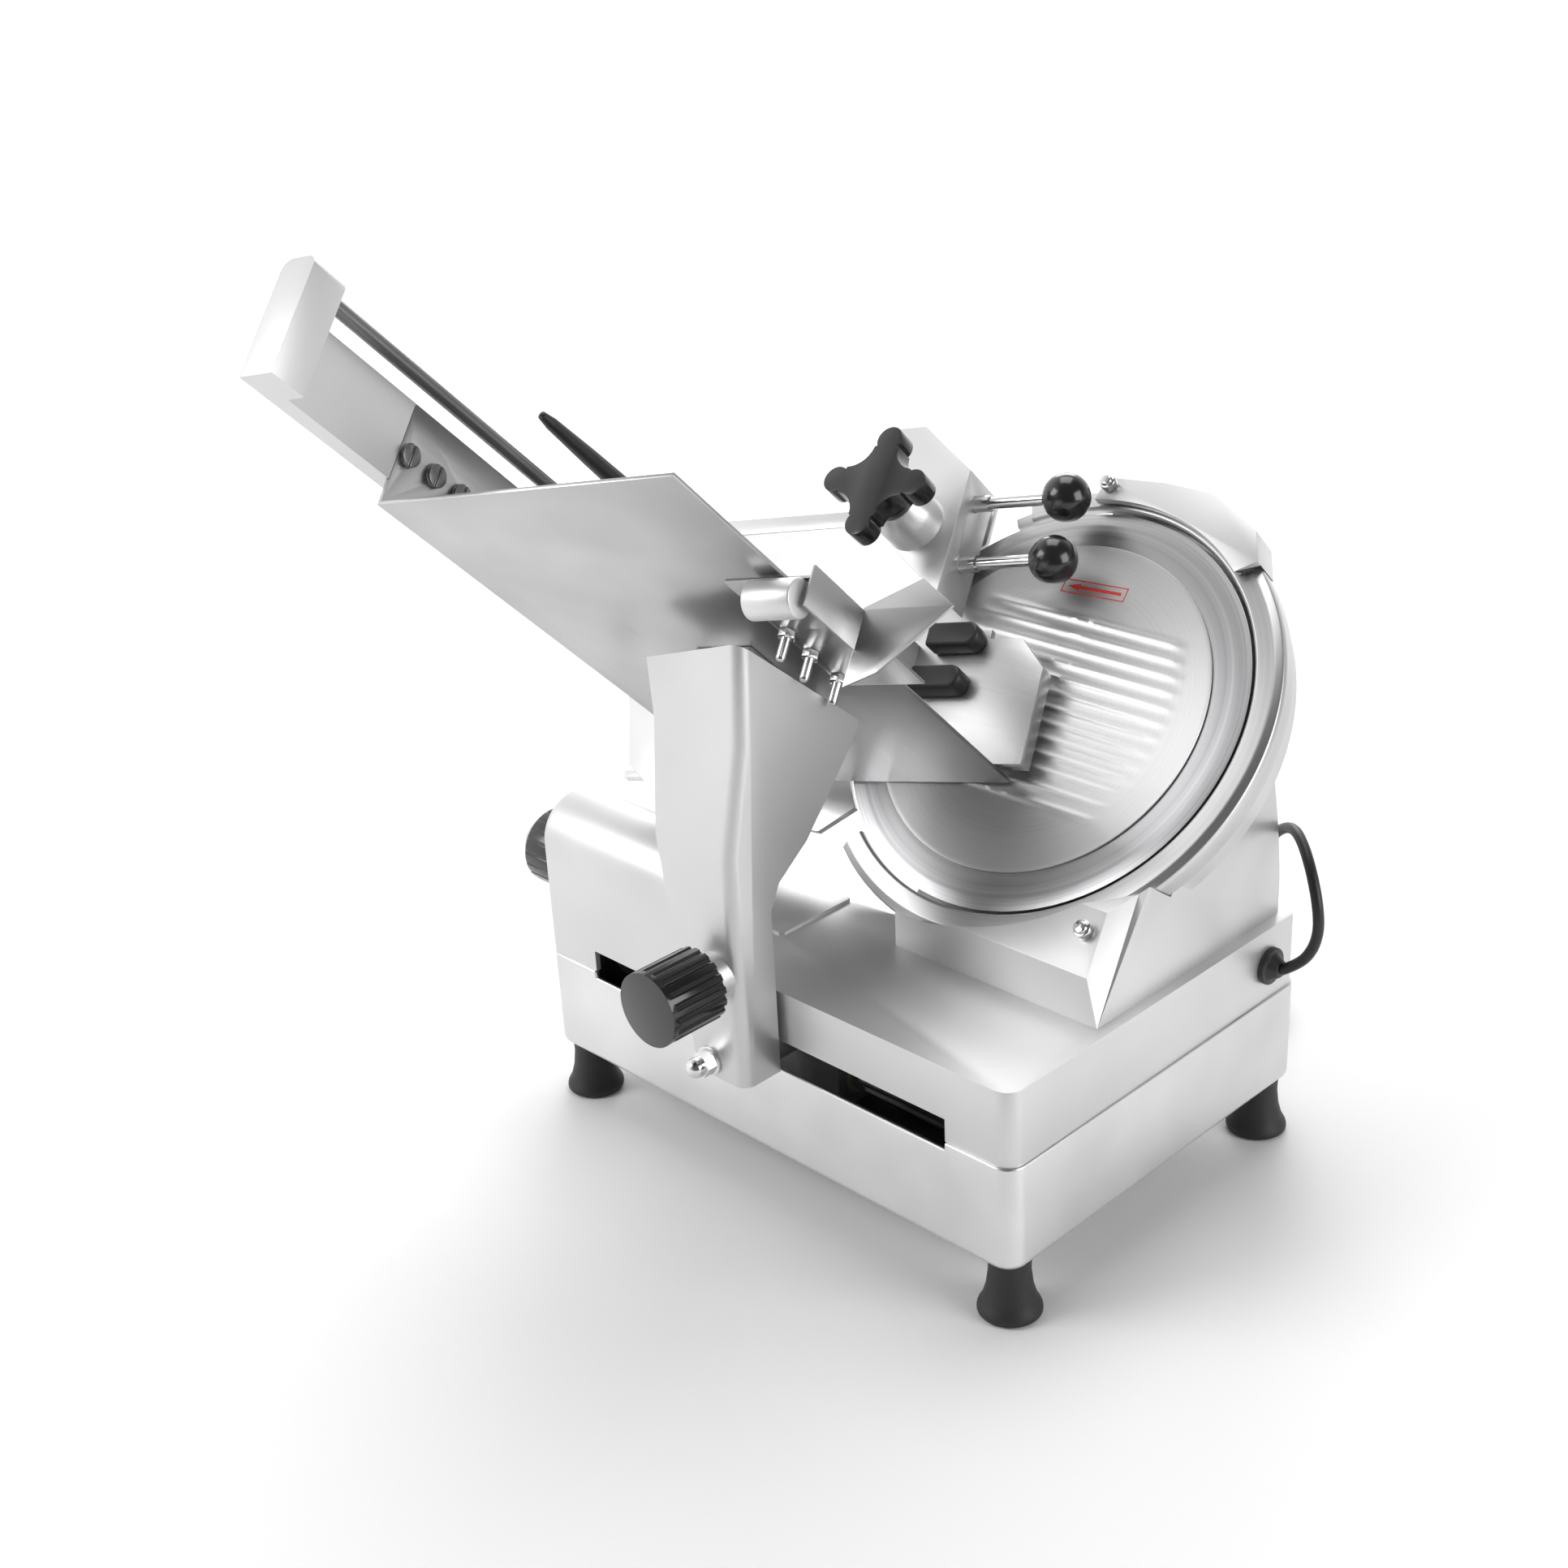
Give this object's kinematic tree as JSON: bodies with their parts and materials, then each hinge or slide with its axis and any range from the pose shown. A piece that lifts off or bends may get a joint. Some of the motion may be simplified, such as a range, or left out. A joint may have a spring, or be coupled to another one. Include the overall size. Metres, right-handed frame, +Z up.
{
  "type": "deli meat slicer",
  "caption": "Gravity-feed deli slicer: round blade leaning back on a motor tower, sliding product tray with pusher, thickness plate and sharpener",
  "frame": {"origin": "centre of the footprint of everything but the free cord, on the table", "axes": "+X along the slotted long side, from the operator's end to the cord's end; +Y towards the side where slices fall; +Z up"},
  "size_m": [0.6084, 0.6673, 0.6443],
  "materials": {
    "cast_aluminium": "fine satin, anodised",
    "brushed_aluminium": "brushed in one direction",
    "stainless_sheet": "satin sheet",
    "blade_steel": "ground and polished in circles",
    "bright_steel": "polished",
    "dark_steel": "dark ground steel",
    "black_knob": "gloss black",
    "black_plastic": "matt black",
    "foot_rubber": "matt",
    "cord_rubber": "smooth",
    "nylon": "off-white",
    "stone_grit": "rough",
    "motor_paint": "satin",
    "green_button": "gloss",
    "red_button": "gloss"
  },
  "bodies": {
    "chassis": {"base_pan": "brushed_aluminium", "deck_housing": "cast_aluminium", "bottom_cover": "stainless_sheet", "feet": "foot_rubber", "motor_tower": "cast_aluminium", "ring_guard": "cast_aluminium", "guard_top_cap": "cast_aluminium", "guard_screws": "bright_steel", "slice_deflector": "stainless_sheet", "blade_cover": "cast_aluminium", "cover_tie_rod": "bright_steel", "spindle_bearings": "bright_steel", "motor": "motor_paint", "drive_belt": "black_plastic", "gauge_guide_rod": "bright_steel", "carriage_rail": "bright_steel", "guide_track": "dark_steel", "sharpener_body": "cast_aluminium", "switch_panel": "black_plastic", "cord_gland": "black_plastic", "power_cord": "cord_rubber", "cord_coil": "cord_rubber", "power_plug": "black_plastic"},
    "blade_group": {"blade": "blade_steel", "spindle": "bright_steel", "driven_pulley": "cast_aluminium"},
    "rotor": {"motor_rotor": "dark_steel", "motor_pulley": "dark_steel"},
    "release_knob": {"cover_release_knob": "black_knob"},
    "gauge": {"gauge_plate": "brushed_aluminium", "gauge_support": "cast_aluminium"},
    "index": {"index_knob": "black_knob", "index_cam": "bright_steel"},
    "carriage": {"carriage_block": "cast_aluminium", "carriage_bushings": "nylon", "carriage_arm": "cast_aluminium", "arm_bolt": "bright_steel", "tray_mount": "cast_aluminium", "product_tray": "stainless_sheet", "mount_bolts": "bright_steel", "hand_guard": "stainless_sheet", "rod_brackets": "cast_aluminium", "bracket_screws": "dark_steel", "slide_rod": "dark_steel"},
    "roller": {"guide_roller": "nylon"},
    "lock_knob": {"carriage_knob": "black_knob"},
    "pusher_slide": {"pusher_bush": "nylon"},
    "pusher": {"pusher_arm": "cast_aluminium", "pusher_plate": "brushed_aluminium", "pusher_pads": "black_plastic", "pusher_handle": "black_plastic"},
    "clamp_knob": {"sharpener_knob": "black_knob"},
    "grind_push": {"grind_lever": "bright_steel", "grind_ball": "black_knob"},
    "deburr_push": {"deburr_lever": "bright_steel", "deburr_ball": "black_knob"},
    "grind_wheel": {"grinding_stone": "stone_grit"},
    "deburr_wheel": {"deburr_stone": "stone_grit"},
    "start": {"start_button": "green_button"},
    "stop": {"stop_button": "red_button"}
  },
  "joints": [
    {"name": "carriage_travel", "type": "slide", "parent": "chassis", "child": "carriage", "axis": [1, 0, 0], "range_m": [-0.12, 0.115]},
    {"name": "roller_turn", "type": "hinge", "parent": "carriage", "child": "roller", "pos_m": [0.06375, 0.03103, 0.0743], "axis": [0, 1, 0], "range_deg": [-575, 552]},
    {"name": "lock_knob_turn", "type": "hinge", "parent": "carriage", "child": "lock_knob", "pos_m": [0.06975, -0.15797, 0.193], "axis": [0, -1, 0], "range_deg": [0, 720]},
    {"name": "pusher_travel", "type": "slide", "parent": "carriage", "child": "pusher_slide", "axis": [0, -0.7071, 0.7071], "range_m": [0, 0.38]},
    {"name": "pusher_swing", "type": "hinge", "parent": "pusher_slide", "child": "pusher", "pos_m": [-0.11164, 0.07488, 0.31756], "axis": [0, -0.7071, 0.7071], "range_deg": [0, 4]},
    {"name": "blade_spin", "type": "hinge", "parent": "chassis", "child": "blade_group", "pos_m": [0.11475, 0.14833, 0.3005], "axis": [0, -0.7071, 0.7071], "continuous": true},
    {"name": "motor_spin", "type": "hinge", "parent": "chassis", "child": "rotor", "pos_m": [0.18475, 0.13065, 0.19797], "axis": [0, -0.7071, 0.7071], "continuous": true},
    {"name": "release_knob_turn", "type": "hinge", "parent": "chassis", "child": "release_knob", "pos_m": [0.11475, 0.24238, 0.20645], "axis": [0, 0.7071, -0.7071], "range_deg": [0, 720]},
    {"name": "gauge_travel", "type": "slide", "parent": "chassis", "child": "gauge", "axis": [0, 0.7071, -0.7071], "range_m": [0, 0.013]},
    {"name": "index_turn", "type": "hinge", "parent": "chassis", "child": "index", "pos_m": [-0.11625, -0.05291, 0.18199], "axis": [-1, 0, 0], "range_deg": [0, 300]},
    {"name": "clamp_knob_turn", "type": "hinge", "parent": "chassis", "child": "clamp_knob", "pos_m": [-0.02063, 0.14348, 0.42858], "axis": [0, -0.7071, 0.7071], "range_deg": [0, 720]},
    {"name": "grind_push", "type": "slide", "parent": "chassis", "child": "grind_push", "axis": [-0.9613, -0.1949, -0.1949], "range_m": [0, 0.004], "stiffness_N_per_m": 400, "springref_m": -0.004},
    {"name": "deburr_push", "type": "slide", "parent": "chassis", "child": "deburr_push", "axis": [-0.9613, -0.1949, -0.1949], "range_m": [0, 0.004], "stiffness_N_per_m": 400, "springref_m": -0.004},
    {"name": "grind_wheel_spin", "type": "hinge", "parent": "chassis", "child": "grind_wheel", "pos_m": [-0.01851, 0.20974, 0.38525], "axis": [0, -0.7071, 0.7071], "continuous": true},
    {"name": "deburr_wheel_spin", "type": "hinge", "parent": "chassis", "child": "deburr_wheel", "pos_m": [-0.01851, 0.20479, 0.3902], "axis": [0, -0.7071, 0.7071], "continuous": true},
    {"name": "start_press", "type": "slide", "parent": "chassis", "child": "start", "axis": [1, 0, 0], "range_m": [0, 0.003], "stiffness_N_per_m": 500, "springref_m": -0.002},
    {"name": "stop_press", "type": "slide", "parent": "chassis", "child": "stop", "axis": [1, 0, 0], "range_m": [0, 0.003], "stiffness_N_per_m": 500, "springref_m": -0.002}
  ],
  "couplings": [
    {"joint": "roller_turn", "follows": "carriage_travel", "rad_per_m": 83.333},
    {"joint": "motor_spin", "follows": "blade_spin", "ratio": 2.1},
    {"joint": "index_turn", "follows": "gauge_travel", "rad_per_m": 402.1}
  ]
}
